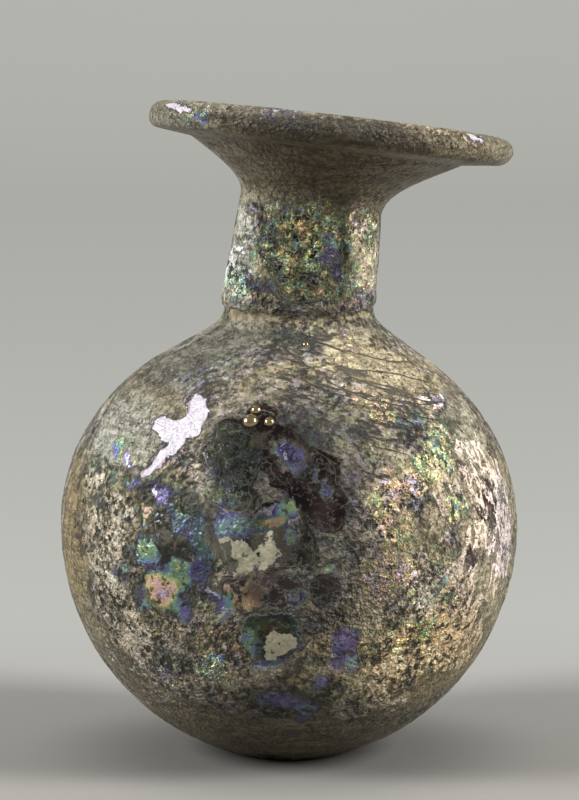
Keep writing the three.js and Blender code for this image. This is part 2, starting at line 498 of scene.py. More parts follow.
# Ellipses that say how light the skin is there, and how far it goes from grey to tan.
# The light is partly the skin's own paleness and partly painted light and shade: painted light where the
# side lights fall, on the upper left, the right side and the sides of the neck; painted shade on the
# front's middle, at the bottom, under the neck's bulge, under the funnel and on the lip's front; and
# painted highlights along the lip's top edge.
Shade = namedtuple("Shade", "across height half_width half_height turn light warmth")

SHADES = [Shade(*row) for row in (
    # painted sheen of the left light on the upper left
    (-31, 58, 9, 9, 0, 1.7, 0.05),
    (-14, 73, 12, 6, 20, 0.8, 0.15),
    # painted light where the right light falls on the right shoulder
    (17, 70, 15, 6, -22, 2.2, 0.6),
    (33, 59, 5, 9, 24, 1.65, 0.35),
    (-32, 36, 7, 15, 0, 1.1, 0.5),
    # painted light where the right light falls on the right side
    (24, 44, 10, 14, 0, 1.2, 0.65),
    (38, 40, 6, 16, 0, 1.7, 0.5),
    # the front's middle, away from the side lights: dark glass, darkened further as painted shade
    (0, 50, 13, 16, 0, 0.32, 0.5),
    (-9, 53, 6.5, 8, 0, 0.3, 0.3),
    (-41, 36, 3.5, 22, 0, 1, 0.95),
    (3, 32, 14, 13, 0, 0.33, 0.6),
    (-16, 36, 9, 14, 0, 0.8, 0.4),
    (-22, 14, 12, 8, -30, 0.75, 0.55),
    # painted shade at the bottom
    (0, 5, 24, 7, 0, 0.5, 0.6),
    (-2.4, 19, 4, 3.6, 0, 0.33, 0.5),
    (24, 17, 13, 8, 24, 1.05, 1),
    # the sides of the neck in painted light, its middle in painted shade
    (-9.6, 91, 4, 12, 0, 2.2, 0),
    (4, 91, 8, 12, 0, 0.55, 0.85),
    (14.5, 91, 3.5, 12, 0, 1.5, 0.4),
    # painted shadow under the neck's bulge, at the crease
    (1, 81.6, 12, 2, -1, 0.5, 0.4),
    (0, 74.8, 7, 3, 0, 0.6, 0.25),
    # painted shade under the funnel and on the lip's front, and painted highlights along the lip's top edge
    (3, 108, 18, 8, -5, 0.55, 0.7),
    (-22, 116, 9, 5, 0, 1.1, 0.15),
    (4, 115, 27, 4, -8, 0.26, 0.8),
    (-8, 118.8, 18, 1.6, -2, 1.25, 0.4),
    (22, 117, 17, 1.6, -13, 1.15, 0.9),
    (2, 115, 4, 1.8, -6, 0.2, 0.5),
)]


def picture_plane(points, azimuth):
    """Where an eye that has walked round the jar by an azimuth sees points.

    Gives how far across and how far up from the foot they are in its picture plane, and the rays to them.
    """
    a = math.radians(azimuth)
    spin = np.array([[math.cos(a), math.sin(a), 0], [-math.sin(a), math.cos(a), 0], [0, 0, 1]])
    seen = points @ spin.T - EYE
    distance = np.linalg.norm(AIM - EYE)
    ahead = (AIM - EYE) / distance
    above = np.cross([1.0, 0, 0], ahead)
    foot = distance * ((-EYE) @ above) / ((-EYE) @ ahead)
    depth = seen @ ahead
    return distance * seen[..., 0] / depth, distance * (seen @ above) / depth - foot, seen @ spin


def from_middle(patch, across, height):
    """How far points lie from an ellipse's middle, with 1 on its edge."""
    a = math.radians(patch.turn)
    dx, dy = across - patch.across, height - patch.height
    u = (dx * math.cos(a) + dy * math.sin(a)) / patch.half_width
    v = (dy * math.cos(a) - dx * math.sin(a)) / patch.half_height
    return np.hypot(u, v)


FAR_OUTSIDE = -4.0  # how far inside a kind of skin a point counts that is nowhere near it, in millimetres
SOFT_EDGE = -0.6, 0.5  # how far inside a patch its colour comes in, in millimetres
SHADE_EDGE = -0.3, 0.5  # the same for a shade, in shares of its size


def towards(values, target, share):
    return values + (target - values) * share


def visible(points, normals, azimuth):
    """1 where an eye at an azimuth sees the surface, 0 where it faces away, and a ragged change between."""
    ray = picture_plane(points, azimuth)[2]
    facing = -np.sum(ray * normals, axis=-1) / np.linalg.norm(ray, axis=-1)
    return smoothstep(facing + 0.12 * noise(points, 8.0, 91, 2), 0.0, 0.25)


def straying(points, seed):
    """How far the edges of patches stray at points, in millimetres."""
    return 1.2 * noise(points, 3.6, seed, 2) + 0.3 * noise(points, 1.4, seed + 1)


def paint(fields, points, seen, azimuth, patches_by_kind):
    """Paints patches on what an eye at an azimuth sees.

    The field of each kind says how many millimetres a point lies inside it.
    """
    across, height, _ = picture_plane(points, azimuth)
    across, height = across + straying(points, 11), height + straying(points, 21)
    for kind, patches in patches_by_kind.items():
        for patch in patches:
            depth = (1 - from_middle(patch, across, height)) * min(patch.half_width, patch.half_height)
            depth = towards(FAR_OUTSIDE, depth, seen)
            fields[kind] = np.maximum(fields[kind], depth)
            within = smoothstep(depth, *SOFT_EDGE)
            if patch.hue is not None:
                fields["hue"] = towards(fields["hue"], patch.hue, within)
            if patch.tone is not None:
                fields["tone"] = towards(fields["tone"], patch.tone, within)


def shade(fields, points, seen):
    """Paints how light and how warm the skin is on what the photograph's eye sees.

    The light is partly the skin's own paleness and partly painted light and shade.
    """
    across, height, _ = picture_plane(points, 0)
    for patch in SHADES:
        within = smoothstep(1 - from_middle(patch, across, height), *SHADE_EDGE) * seen
        fields["light"] = towards(fields["light"], patch.light, within)
        fields["warmth"] = towards(fields["warmth"], patch.warmth, within)


# The sides and back, which the photograph doesn't show, get patches of the same kinds from a fixed seed
BACK_VIEWS = (110, 180, 250)
BACK_PATCHES = 34
BACK_REACH = 34  # of the patches' middles from the middle of the body
BACK_CHANCES = (0.1, 0.18, 0.22, 0.18, 0.05, 0.12, 0.05, 0.04, 0.06)  # of each kind, in the order of KINDS
LARGE_KINDS = ("glass", "crust", "flake", "wrinkle")
LARGER = 1.8


def scattered(seed):
    """Patches scattered over the body as one eye sees it."""
    random = np.random.default_rng(seed)
    patches = {kind: [] for kind in KINDS}
    for _ in range(BACK_PATCHES):
        kind = random.choice(KINDS, p=BACK_CHANCES)
        angle = random.uniform(0, 2 * math.pi)
        reach = BACK_REACH * math.sqrt(random.uniform(0, 1))
        size = random.uniform(1.2, 3.4) * (LARGER if kind in LARGE_KINDS else 1)
        patches[kind].append(Patch(
            across=reach * math.cos(angle),
            height=WIDEST_HEIGHT + reach * math.sin(angle),
            half_width=size * random.uniform(0.8, 1.8),
            half_height=size,
            turn=random.uniform(-90, 90),
            hue=random.uniform(0, 1),
            tone=random.uniform(0.4, 0.9),
        ))
    return patches


# The band stands in partly for the glassy reflection at the grazing edges, as painted reflection
RIM_REFLECTION_BAND = 3.6  # of smooth glass along the sides of the body, as the photograph's eye sees them
BAND_END = 8  # how far below the crease that band ends
FUNNEL_START = 1.5  # how far below the funnel its smooth glass starts
SOIL_MIDDLE = 0.7  # of the soil in the crease, below the crease


def skin_fields(points, normals, level):
    """The painted fields of the outside: how far inside each kind of skin, and the colours."""
    fields = {kind: np.full(points.shape[:-1], FAR_OUTSIDE) for kind in KINDS}
    fields["hue"] = 0.5 + 0.4 * noise(points, 14.0, 31, 2)
    fields["tone"] = 0.55 + 0.25 * noise(points, 9.0, 41, 2)
    fields["light"] = 0.95 + 0.2 * noise(points, 16.0, 43)
    fields["warmth"] = 0.55 + 0.3 * noise(points, 18.0, 45)
    for azimuth in BACK_VIEWS:
        paint(fields, points, visible(points, normals, azimuth), azimuth, scattered(azimuth))

    seen = visible(points, normals, 0)
    for kind in KINDS:
        fields[kind] = towards(fields[kind], FAR_OUTSIDE, seen)
    across, height, _ = picture_plane(points, 0)
    # the rim band: smooth glass where the front view grazes the body's sides, partly painted reflection
    from_side = BODY_RADIUS - np.hypot(across, height - WIDEST_HEIGHT)
    rim = RIM_REFLECTION_BAND - from_side + 0.8 * noise(points, 8.0, 47, 2)
    rim = np.maximum(fields["smooth"], towards(FAR_OUTSIDE, rim, seen))
    fields["smooth"] = np.where(level < CREASE_HEIGHT - BAND_END, rim, fields["smooth"])
    paint(fields, points, seen, 0, FRONT)
    shade(fields, points, seen)

    above_crease = level - CREASE_HEIGHT
    funnel = above_crease - NECK_HEIGHT + FUNNEL_START + 2.0 * noise(points, 6.0, 49, 2)
    fields["smooth"] = np.maximum(fields["smooth"], np.clip(funnel, FAR_OUTSIDE, -FAR_OUTSIDE))
    fields["soil"] = 0.5 + 0.6 * noise(points, 5.0, 48, 2) - 1.2 * np.abs(above_crease + SOIL_MIDDLE)
    return fields


# Relief of the skin, in millimetres along the outward normal

LUMP_HEIGHT = 0.08
CRUST_THICKNESS = 0.16
PIT_DEPTH = 0.14
GROOVE_DEPTH = 0.34
BELOW_SOLID = 0.26  # so that no crest stands out of the solid
LEAST_BELOW = 0.1  # of the highest crests
FLAT_RISE = 1.5  # height over which the relief comes in above the flat resting face
FOLD_FALL = 0.28  # how steeply the folds run down to the right
FOLD_STRETCH = 0.13


def grooves(points):
    """Long, narrow grooves that run down to the right, as 1 along a groove and 0 between them."""
    x, y, z = np.moveaxis(points, -1, 0)
    drawn = np.stack([x * FOLD_STRETCH, y * FOLD_STRETCH, z + FOLD_FALL * x], axis=-1)
    return 1 - smoothstep(np.abs(noise(drawn, 1.9, 81, 2)), 0.05, 0.34)


def relief(points, fields):
    """How far the weathered skin stands proud of the smooth glass, which is mostly below it."""
    lumps = LUMP_HEIGHT * noise(points, 7.0, 51, 2)
    crusty = smoothstep(np.maximum(fields["crust"], fields["flake"]), -1.0, 0.8)
    even = np.maximum(np.maximum(fields["glass"], fields["film"]), fields["smooth"])
    pits = -PIT_DEPTH * smoothstep(noise(points, 2.2, 71, 2), 0.35, 0.8)
    flakes = CRUST_THICKNESS * smoothstep(noise(points, 1.5, 61, 2), -0.1, 0.25)
    rough = towards(0.4, 1, crusty) * pits + towards(0.25, 1, crusty) * flakes
    folds = GROOVE_DEPTH * grooves(points) * smoothstep(fields["wrinkle"], -2.0, 1.5)
    return lumps + (1 - smoothstep(even, -0.4, 0.4)) * rough - folds - BELOW_SOLID


def grid_normals(points):
    """Outward normals of the rings of points."""
    along = np.gradient(points, axis=0)
    around = np.roll(points, -1, axis=1) - np.roll(points, 1, axis=1)
    normals = np.cross(around, along)
    return normals / np.maximum(np.linalg.norm(normals, axis=-1, keepdims=True), 1e-9)


def jar_surface():
    """The outside with its relief, its smooth normals and its painted fields."""
    outline = outer_outline()
    points, level = rings(outline, SIDES), np.repeat(outline[:, 1:], SIDES, axis=1)
    normals = grid_normals(points)
    fields = skin_fields(points, normals, level)
    proud = np.minimum(relief(points, fields), -LEAST_BELOW) * smoothstep(points[..., 2], 0.0, FLAT_RISE)
    return points + normals * proud[..., None], normals, fields


# What the fields say in the bore, where no patches are painted: smooth glass, with less light than outside,
# as painted shade
BORE_FIELDS = {"hue": 0.5, "tone": 0.4, "light": 0.6, "warmth": 0.6, "smooth": 4.0}


def jar_mesh(points, fields):
    """The dense outside and the coarser bore as one closed mesh, with the fields as attributes."""
    inner = inner_outline()
    bore = rings(inner, INNER_SIDES)
    outer_count = points.shape[0] * SIDES

    def at(ring, side):
        return ring * SIDES + side % SIDES

    def bore_at(ring, side):
        return outer_count + ring * INNER_SIDES + side % INNER_SIDES

    share = SIDES // INNER_SIDES
    last = points.shape[0] - 1
    faces = [[at(0, s) for s in range(SIDES)][::-1]]
    faces += [
        (at(r, s), at(r, s + 1), at(r + 1, s + 1), at(r + 1, s))
        for r in range(last) for s in range(SIDES)
    ]
    faces += [
        [at(last, s * share + k) for k in range(share + 1)] + [bore_at(0, s + 1), bore_at(0, s)]
        for s in range(INNER_SIDES)
    ]
    faces += [
        (bore_at(r, s), bore_at(r, s + 1), bore_at(r + 1, s + 1), bore_at(r + 1, s))
        for r in range(len(inner) - 1) for s in range(INNER_SIDES)
    ]
    faces.append([bore_at(len(inner) - 1, s) for s in range(INNER_SIDES)])

    every_point = np.concatenate([points.reshape(-1, 3), bore.reshape(-1, 3)]) * MM
    mesh = bpy.data.meshes.new("jar_glass")
    mesh.from_pydata(every_point.tolist(), [], faces)
    mesh.validate()
    mesh.shade_smooth()
    for name, values in fields.items():
        attribute = mesh.attributes.new(name, "FLOAT", "POINT")
        in_bore = np.full(bore.shape[0] * INNER_SIDES, BORE_FIELDS.get(name, FAR_OUTSIDE))
        attribute.data.foreach_set("value", np.concatenate([values.ravel(), in_bore]).astype(np.float32))
    return mesh


# Gas bubbles in the dark glass, which stand up as small domes: where each lies in the photograph's picture
# plane, and its radius
BUBBLES = [(-7.2, 60.3, 1.4), (-5.8, 62.3, 0.95), (-3.8, 60.5, 0.95), (3.2, 74.8, 0.6)]

# Radius and rise of a dome's rings, in shares of the bubble's radius. It ends in a point.
BUBBLE_RINGS = (
    (1.0, 0.0), (0.98, 0.20), (0.90, 0.42), (0.76, 0.60), (0.58, 0.72), (0.36, 0.8), (0.18, 0.83),
)
BUBBLE_RISE = 0.84
BUBBLE_SIDES = 24
BUBBLE_SINK = 0.1  # of a dome's foot into the glass


def bubble_mesh(name, radius):
    angles = np.arange(BUBBLE_SIDES) * 2 * math.pi / BUBBLE_SIDES
    verts = [
        Vector((reach * math.cos(angle), reach * math.sin(angle), rise)) * radius * MM
        for reach, rise in BUBBLE_RINGS for angle in angles
    ]
    verts.append(Vector((0, 0, BUBBLE_RISE)) * radius * MM)

    def at(ring, side):
        return ring * BUBBLE_SIDES + side % BUBBLE_SIDES

    last = len(BUBBLE_RINGS) - 1
    faces = [
        (at(r, s), at(r, s + 1), at(r + 1, s + 1), at(r + 1, s))
        for r in range(last) for s in range(BUBBLE_SIDES)
    ]
    faces += [(at(last, s), at(last, s + 1), len(verts) - 1) for s in range(BUBBLE_SIDES)]
    faces.append([at(0, s) for s in range(BUBBLE_SIDES)][::-1])
    mesh = bpy.data.meshes.new(name)
    mesh.from_pydata(verts, [], faces)
    mesh.shade_smooth()
    return mesh


def bubble(number, across, height, radius, points, normals):
    """A dome on the front of the jar, nearest a place in the photograph."""
    seen_across, seen_height, _ = picture_plane(points, 0)
    off = np.hypot(seen_across - across, seen_height - height)
    off = np.where(normals[..., 1] > 0, np.inf, off)
    nearest = np.unravel_index(np.argmin(off), off.shape)
    name = f"bubble_{number}"
    dome = bpy.data.objects.new(name, bubble_mesh(name, radius))
    dome.location = Vector((points[nearest] - normals[nearest] * BUBBLE_SINK) * MM)
    dome.rotation_euler = Vector(normals[nearest]).to_track_quat("Z", "Y").to_euler()
    bpy.context.collection.objects.link(dome)
    return dome


# Materials

class Graph:
    """Short names for making a material's nodes."""

    def __init__(self, name):
        self.material = bpy.data.materials.new(name)
        self.material.use_nodes = True
        self.tree = self.material.node_tree
        self.shader = self.tree.nodes["Principled BSDF"]

    def node(self, kind, **settings):
        node = self.tree.nodes.new(kind)
        for key, value in settings.items():
            setattr(node, key, value)
        return node

    def feed(self, socket, value):
        if isinstance(value, bpy.types.NodeSocket):
            self.tree.links.new(value, socket)
        elif value is not None:
            socket.default_value = value

    def dressed(self, **inputs):
        """The material, once its shader has these inputs, with _ for each space in a name."""
        for name, value in inputs.items():
            self.feed(self.shader.inputs[name.replace("_", " ")], value)
        return self.material

    def math(self, operation, a, b=None, c=None):
        node = self.node("ShaderNodeMath", operation=operation)
        for socket, value in zip(node.inputs, (a, b, c)):
            self.feed(socket, value)
        return node.outputs[0]

    def times(self, a, b):
        return self.math("MULTIPLY", a, b)

    def sum(self, *terms):
        """Adds (value, factor) pairs."""
        total = 0.0
        for value, factor in terms:
            total = self.math("MULTIPLY_ADD", value, factor, total)
        return total

    def swing(self, value, reach):
        """A noise's swing about its middle, times a reach."""
        return self.math("MULTIPLY_ADD", value, reach, -0.5 * reach)

    def vector(self, operation, a, b=None, output="Vector"):
        node = self.node("ShaderNodeVectorMath", operation=operation)
        for socket, value in zip(node.inputs, (a, b)):
            self.feed(socket, value)
        return node.outputs[output]

    def scaled(self, vector, factor):
        node = self.node("ShaderNodeVectorMath", operation="SCALE")
        self.feed(node.inputs[0], vector)
        self.feed(node.inputs["Scale"], factor)
        return node.outputs["Vector"]

    def split(self, vector):
        node = self.node("ShaderNodeSeparateXYZ")
        self.feed(node.inputs[0], vector)
        return node.outputs

    def joined(self, *parts):
        node = self.node("ShaderNodeCombineXYZ")
        for socket, value in zip(node.inputs, parts):
            self.feed(socket, value)
        return node.outputs[0]

    def mix(self, factor, a, b, blend="MIX"):
        node = self.node("ShaderNodeMix", data_type="RGBA", blend_type=blend)
        for index, value in ((0, factor), (6, a), (7, b)):
            self.feed(node.inputs[index], (*value, 1.0) if isinstance(value, tuple) else value)
        return node.outputs[2]

    def blend(self, factor, a, b):
        node = self.node("ShaderNodeMix", data_type="FLOAT")
        for index, value in ((0, factor), (2, a), (3, b)):
            self.feed(node.inputs[index], value)
        return node.outputs[0]

    def step(self, value, low, high):
        """0 below low, 1 above high and smooth between, or the other way round where low is above high."""
        node = self.node("ShaderNodeMapRange", interpolation_type="SMOOTHSTEP")
        for index, number in enumerate((value, low, high)):
            self.feed(node.inputs[index], number)
        return node.outputs[0]

    def lines(self, value, outer, inner):
        """1 along the lines where a value crosses 0."""
        return self.step(self.math("ABSOLUTE", value), outer, inner)

    def attribute(self, name):
        return self.node("ShaderNodeAttribute", attribute_name=name).outputs["Fac"]

    def place(self):
        """Position on the object, in millimetres."""
        return self.scaled(self.node("ShaderNodeTexCoord").outputs["Object"], 1 / MM)

    def noise(self, vector, size, detail=2.0, roughness=0.55, distortion=0.0):
        node = self.node("ShaderNodeTexNoise")
        self.feed(node.inputs["Vector"], vector)
        settings = {"Scale": 1 / size, "Detail": detail, "Roughness": roughness, "Distortion": distortion}
        for key, value in settings.items():
            node.inputs[key].default_value = value
        return node.outputs["Fac"]

    def cells(self, vector, size):
        node = self.node("ShaderNodeTexVoronoi")
        self.feed(node.inputs["Vector"], vector)
        node.inputs["Scale"].default_value = 1 / size
        return node.outputs

    def channels(self, colour):
        node = self.node("ShaderNodeSeparateColor")
        self.feed(node.inputs[0], colour)
        return node.outputs

    def ramp(self, factor, stops):
        node = self.node("ShaderNodeValToRGB")
        elements = node.color_ramp.elements
        while len(elements) < len(stops):
            elements.new(0.5)
        for element, (position, colour) in zip(elements, stops):
            element.position = position
            element.color = (*colour, 1.0)
        self.feed(node.inputs[0], factor)
        return node.outputs[0]

    def relief(self, height):
        """A bump whose height is in millimetres."""
        node = self.node("ShaderNodeBump")
        node.inputs["Strength"].default_value = 1.0
        node.inputs["Distance"].default_value = MM
        self.feed(node.inputs["Height"], height)
        return node.outputs[0]


# Ramps of colour: places on a noise, which keeps near 0.5, and the colours there

SKIN_COLOURS = (
    (0.438, (0.01, 0.009, 0.007)),
    (0.466, (0.045, 0.039, 0.025)),
    (0.5, (0.13, 0.116, 0.07)),
    (0.534, (0.26, 0.232, 0.142)),
    (0.585, (0.62, 0.58, 0.42)),
)
SMOOTH_COLOURS = (
    (0.44, (0.06, 0.048, 0.028)),
    (0.5, (0.15, 0.128, 0.08)),
    (0.55, (0.27, 0.24, 0.16)),
)
MOSSY_COLOURS = (
    (0.43, (0.01, 0.01, 0.007)),
    (0.51, (0.034, 0.032, 0.022)),
    (0.6, (0.1, 0.094, 0.066)),
)
RUSTY_COLOURS = (
    (0.43, (0.01, 0.005, 0.005)),
    (0.51, (0.026, 0.014, 0.013)),
    (0.6, (0.055, 0.035, 0.031)),
)
CRUST_COLOURS = (
    (0.4, (0.3, 0.3, 0.2)),
    (0.46, (0.46, 0.4, 0.29)),
    (0.51, (0.64, 0.54, 0.37)),
    (0.55, (0.52, 0.43, 0.34)),
    (0.61, (0.78, 0.74, 0.6)),
)

# Colours of a film as it thickens, at the places that NAVY to SILVER name
FILM_COLOURS = (
    (NAVY, (0.03, 0.04, 0.13)),
    (VIOLET, (0.15, 0.11, 0.31)),
    (BLUE, (0.16, 0.215, 0.39)),
    (TEAL, (0.2, 0.345, 0.3)),
    (GREEN, (0.24, 0.385, 0.21)),
    (LIME, (0.4, 0.46, 0.2)),
    (GOLD, (0.62, 0.5, 0.25)),
    (PEACH, (0.67, 0.455, 0.3)),
    (PINK, (0.54, 0.37, 0.37)),
    (LILAC, (0.5, 0.43, 0.66)),
    (SILVER, (0.72, 0.71, 0.74)),
)
MIRROR_AND_HIGHLIGHT_COLOURS = ((0.98, (0.29, 0.235, 0.26)), (1.00, (0.45, 0.42, 0.46)))

PALE_SKIN, DARK_SKIN = (0.34, 0.31, 0.2), (0.045, 0.042, 0.034)
GLASS_BLOOM, GLASS_LINE = (0.15, 0.135, 0.1), (0.3, 0.28, 0.21)
FILM_GAP = (0.025, 0.024, 0.02)
PALE_FLAKE = (0.62, 0.58, 0.38)
STRIP_SAND = (0.6, 0.5, 0.37)
DULL_CREAM, CREAM = (0.24, 0.235, 0.16), (0.37, 0.34, 0.24)
MIRROR_SPECK, MIRROR_RIM = (0.1, 0.085, 0.12), (0.03, 0.03, 0.035)
CRACK_DARK, FOLD_PAINTED_SHADE, HOLLOW_DARK = (0.03, 0.026, 0.02), (0.035, 0.03, 0.024), (0.02, 0.016, 0.012)
DARK_SOIL, PALE_SOIL = (0.13, 0.108, 0.066), (0.29, 0.248, 0.155)
COOL_TINT, WARM_TINT = (0.86, 0.99, 1.26), (1.14, 1.0, 0.78)
SHEEN_TINT = (0.75, 0.66, 0.42, 1.0)

# One layer of the skin: where it lies, its colour, its gloss, and how much of the common bumps it keeps
Layer = namedtuple("Layer", "mask colour roughness metal bumps")


class Skin(Graph):
    """A graph with the noises and painted fields that the layers of the weathered skin share."""

    def __init__(self, name):
        super().__init__(name)
        self.spot = self.place()
        self.hue, self.tone = self.attribute("hue"), self.attribute("tone")
        self.light, self.warmth = self.attribute("light"), self.attribute("warmth")
        self.broad = self.noise(self.spot, 6.0, 7, 0.62)
        self.other = self.noise(self.moved(31.0, 17.0, 5.0), 4.4, 6, 0.62)
        self.fine = self.noise(self.moved(-13.0, 8.0, 27.0), 1.3, 5, 0.7)
        self.grit = self.noise(self.moved(14.0, 25.0, -6.0), 0.8, 2, 0.5)
        self.dust = self.noise(self.spot, 0.36, 3, 0.7)
        self.swirl = self.noise(self.spot, 5.0, 3, 0.5, 1.4)
        self.ragged = self.math("ADD", self.swing(self.broad, 7.0), self.swing(self.fine, 3.0))
        self.chips = self.cells(self.spot, 0.95)
        self.chance = self.channels(self.chips["Color"])

    def moved(self, *offset):
        """The place moved aside, where a noise is another one."""
        return self.vector("ADD", self.spot, offset)

    def edge(self, name, reach=1.0, soft=0.1, inset=0.0):
        """1 inside a painted area, 0 outside it, with a ragged edge."""
        depth = self.math("MULTIPLY_ADD", self.ragged, reach, self.attribute(name))
        return self.step(depth, inset - soft, inset + soft)

    def film(self, thickness):
        """The colour of a film, which starts again with each turn."""
        return self.ramp(self.math("FRACT", self.math("ADD", thickness, 1.0)), FILM_COLOURS)

    def covered(self, below, layer):
        """What is seen once a layer lies over what is below."""
        return Layer(
            None,
            self.mix(layer.mask, below.colour, layer.colour),
            self.blend(layer.mask, below.roughness, layer.roughness),
            self.blend(layer.mask, below.metal, layer.metal),
            self.blend(layer.mask, below.bumps, layer.bumps),
        )


def ground(g):
    """The grey-olive skin that covers most of the glass, with hints of film."""
    mottle = g.sum((g.broad, 0.34), (g.fine, 0.34), (g.dust, 0.14), (g.grit, 0.18))
    colour = g.ramp(mottle, SKIN_COLOURS)
    colour = g.mix(g.times(g.step(g.broad, 0.535, 0.55), 0.38), colour, PALE_SKIN)
    colour = g.mix(g.times(g.step(g.other, 0.465, 0.45), 0.55), colour, DARK_SKIN)
    tints = g.film(g.sum((g.other, 2.6), (g.hue, 1.0)))
    colour = g.mix(g.times(g.step(g.fine, 0.48, 0.56), 0.29), colour, tints)
    return Layer(None, colour, 0.5, 0.1, 1.0)


def smooth_glass(g):
    """Smooth, streaky olive glass of the lip, the funnel and the sides.

    On the sides it stands in partly for the reflection at the grazing edges, as painted reflection.
    """
    streaks = g.noise(g.vector("MULTIPLY", g.spot, (0.2, 0.2, 2.0)), 1.6, 4, 0.6)
    grain = g.sum((streaks, 0.2), (g.fine, 0.26), (g.dust, 0.24), (g.broad, 0.14), (g.grit, 0.16))
    return Layer(g.edge("smooth", 0.8, 0.5), g.ramp(grain, SMOOTH_COLOURS), 0.45, 0.05, 0.4)


def bare_glass(g):
    """Bare glass, green-black or red-brown, with a thin pale line just inside its edge."""
    colour = g.mix(g.step(g.hue, 0.4, 0.6), g.ramp(g.other, MOSSY_COLOURS), g.ramp(g.other, RUSTY_COLOURS))
    colour = g.mix(g.times(g.step(g.fine, 0.53, 0.62), 0.6), colour, GLASS_BLOOM)
    inside = g.math("ADD", g.attribute("glass"), g.swing(g.swirl, 1.6))
    line = g.times(g.lines(g.math("SUBTRACT", inside, 0.7), 0.12, 0.04), g.step(g.broad, 0.44, 0.52))
    colour = g.mix(g.times(line, 0.5), colour, GLASS_LINE)
    return Layer(g.edge("glass", 0.9), colour, 0.15, 0.0, 0.08)


def crust(g):
    """Sandy crust, broken up into clumps."""
    grain = g.sum((g.broad, 0.5), (g.fine, 0.3), (g.chance[2], 0.2))
    strength = g.times(g.math("MULTIPLY_ADD", g.tone, 0.6, 0.4), g.sum((g.dust, 1.0), (g.fine, 0.8)))
    clumps = g.step(g.sum((g.fine, 0.4), (g.dust, 0.15), (g.broad, 0.2), (g.other, 0.25)), 0.48, 0.505)
    mask = g.times(g.edge("crust", 1.3, 0.4), clumps)
    return Layer(mask, g.scaled(g.ramp(grain, CRUST_COLOURS), strength), 0.5, 0.15, 1.0)


def hollows(g):
    """Dark, rounded pits in the crust."""
    cells = g.cells(g.moved(5.0, 9.0, 2.0), 2.0)
    size = g.sum((g.fine, 2.6), (g.channels(cells["Color"])[0], 0.4), (cells["Distance"], 0.7))
    mask = g.times(g.step(size, 1.58, 1.5), g.edge("crust", 1.0, 0.4))
    return Layer(mask, HOLLOW_DARK, 0.3, 0.0, 0.3)


def flakes(g):
    """Small flakes, each with a film of its own."""
    thickness = g.sum((g.swing(g.chance[0], 0.28), 1.0), (g.swing(g.other, 1.3), 1.0), (g.hue, 1.0))
    colour = g.mix(g.times(g.step(g.chance[1], 0.5, 0.8), 0.4), g.film(thickness), PALE_FLAKE)
    colour = g.scaled(colour, g.times(g.tone, g.sum((g.chance[2], 1.5), (g.dust, 0.7))))
    left = g.step(g.sum((g.fine, 0.6), (g.dust, 0.4)), 0.47, 0.53)
    return Layer(g.times(g.edge("flake", 1.2, 0.4), left), colour, 0.26, 0.6, 1.0)


def strips(g):
    """Winding strips of pale crust, which run more up than across."""
    upright = g.vector("MULTIPLY", g.moved(3.0, 41.0, 7.0), (1.0, 1.0, 0.5))
    bends = g.swing(g.noise(upright, 3.6, 3, 0.5), 1.0)
    winding = g.math("ADD", bends, g.swing(g.fine, 0.35))
    mask = g.times(g.edge("strip", 0.5), g.lines(winding, 0.068, 0.048))
    colour = g.mix(0.7, g.film(g.math("MULTIPLY_ADD", g.chance[0], 0.12, g.hue)), STRIP_SAND)
    return Layer(mask, g.scaled(colour, g.sum((g.fine, 0.9), (g.dust, 0.8))), 0.4, 0.2, 0.6)


def cracks(g):
    """Thin, dark cracks that come and go."""
    wandering = g.swing(g.noise(g.moved(9.0, 2.0, 44.0), 3.6, 5, 0.6), 1.0)
    mask = g.times(g.lines(wandering, 0.016, 0.006), g.step(g.fine, 0.44, 0.54))
    return Layer(mask, CRACK_DARK, 0.6, 0.0, 1.0)


def folds(g):
    """Long, thin folds that run down to the right, drawn dark as painted shade."""
    x, y, z = g.split(g.spot)
    sheared = g.math("MULTIPLY_ADD", x, FOLD_FALL, z)
    drawn = g.joined(g.times(x, FOLD_STRETCH), g.times(y, FOLD_STRETCH), sheared)
    wandering = g.swing(g.noise(drawn, 2.8, 4, 0.5), 1.0)
    mask = g.times(g.lines(wandering, 0.03, 0.008), g.edge("wrinkle", 0.8, 0.75, 0.25))
    return Layer(mask, FOLD_PAINTED_SHADE, 0.6, 0.0, 1.0)


def films(g):
    """Glossy films, whose colours follow their edges where they thin out."""
    thickness = g.sum((g.swirl, 0.55), (g.attribute("film"), 0.1), (g.fine, 0.25), (g.hue, 1.0))
    colour = g.film(g.math("SUBTRACT", thickness, 0.53))
    colour = g.mix(g.times(g.step(g.fine, 0.46, 0.41), 0.8), colour, FILM_GAP)
    strength = g.times(g.tone, g.sum((g.broad, 0.8), (g.fine, 0.6), (g.dust, 0.5)))
    return Layer(g.times(g.edge("film", 1.1, 0.5), 0.85), g.scaled(colour, strength), 0.22, 0.35, 0.25)


def cream(g):
    """Smooth cream patches with ragged holes."""
    colour = g.mix(g.step(g.broad, 0.42, 0.58), DULL_CREAM, CREAM)
    mask = g.times(g.edge("cream", 0.7, 0.06), g.step(g.other, 0.585, 0.565))
    return Layer(mask, g.scaled(colour, g.sum((g.fine, 0.9), (g.dust, 0.9))), 0.35, 0.0, 0.2)


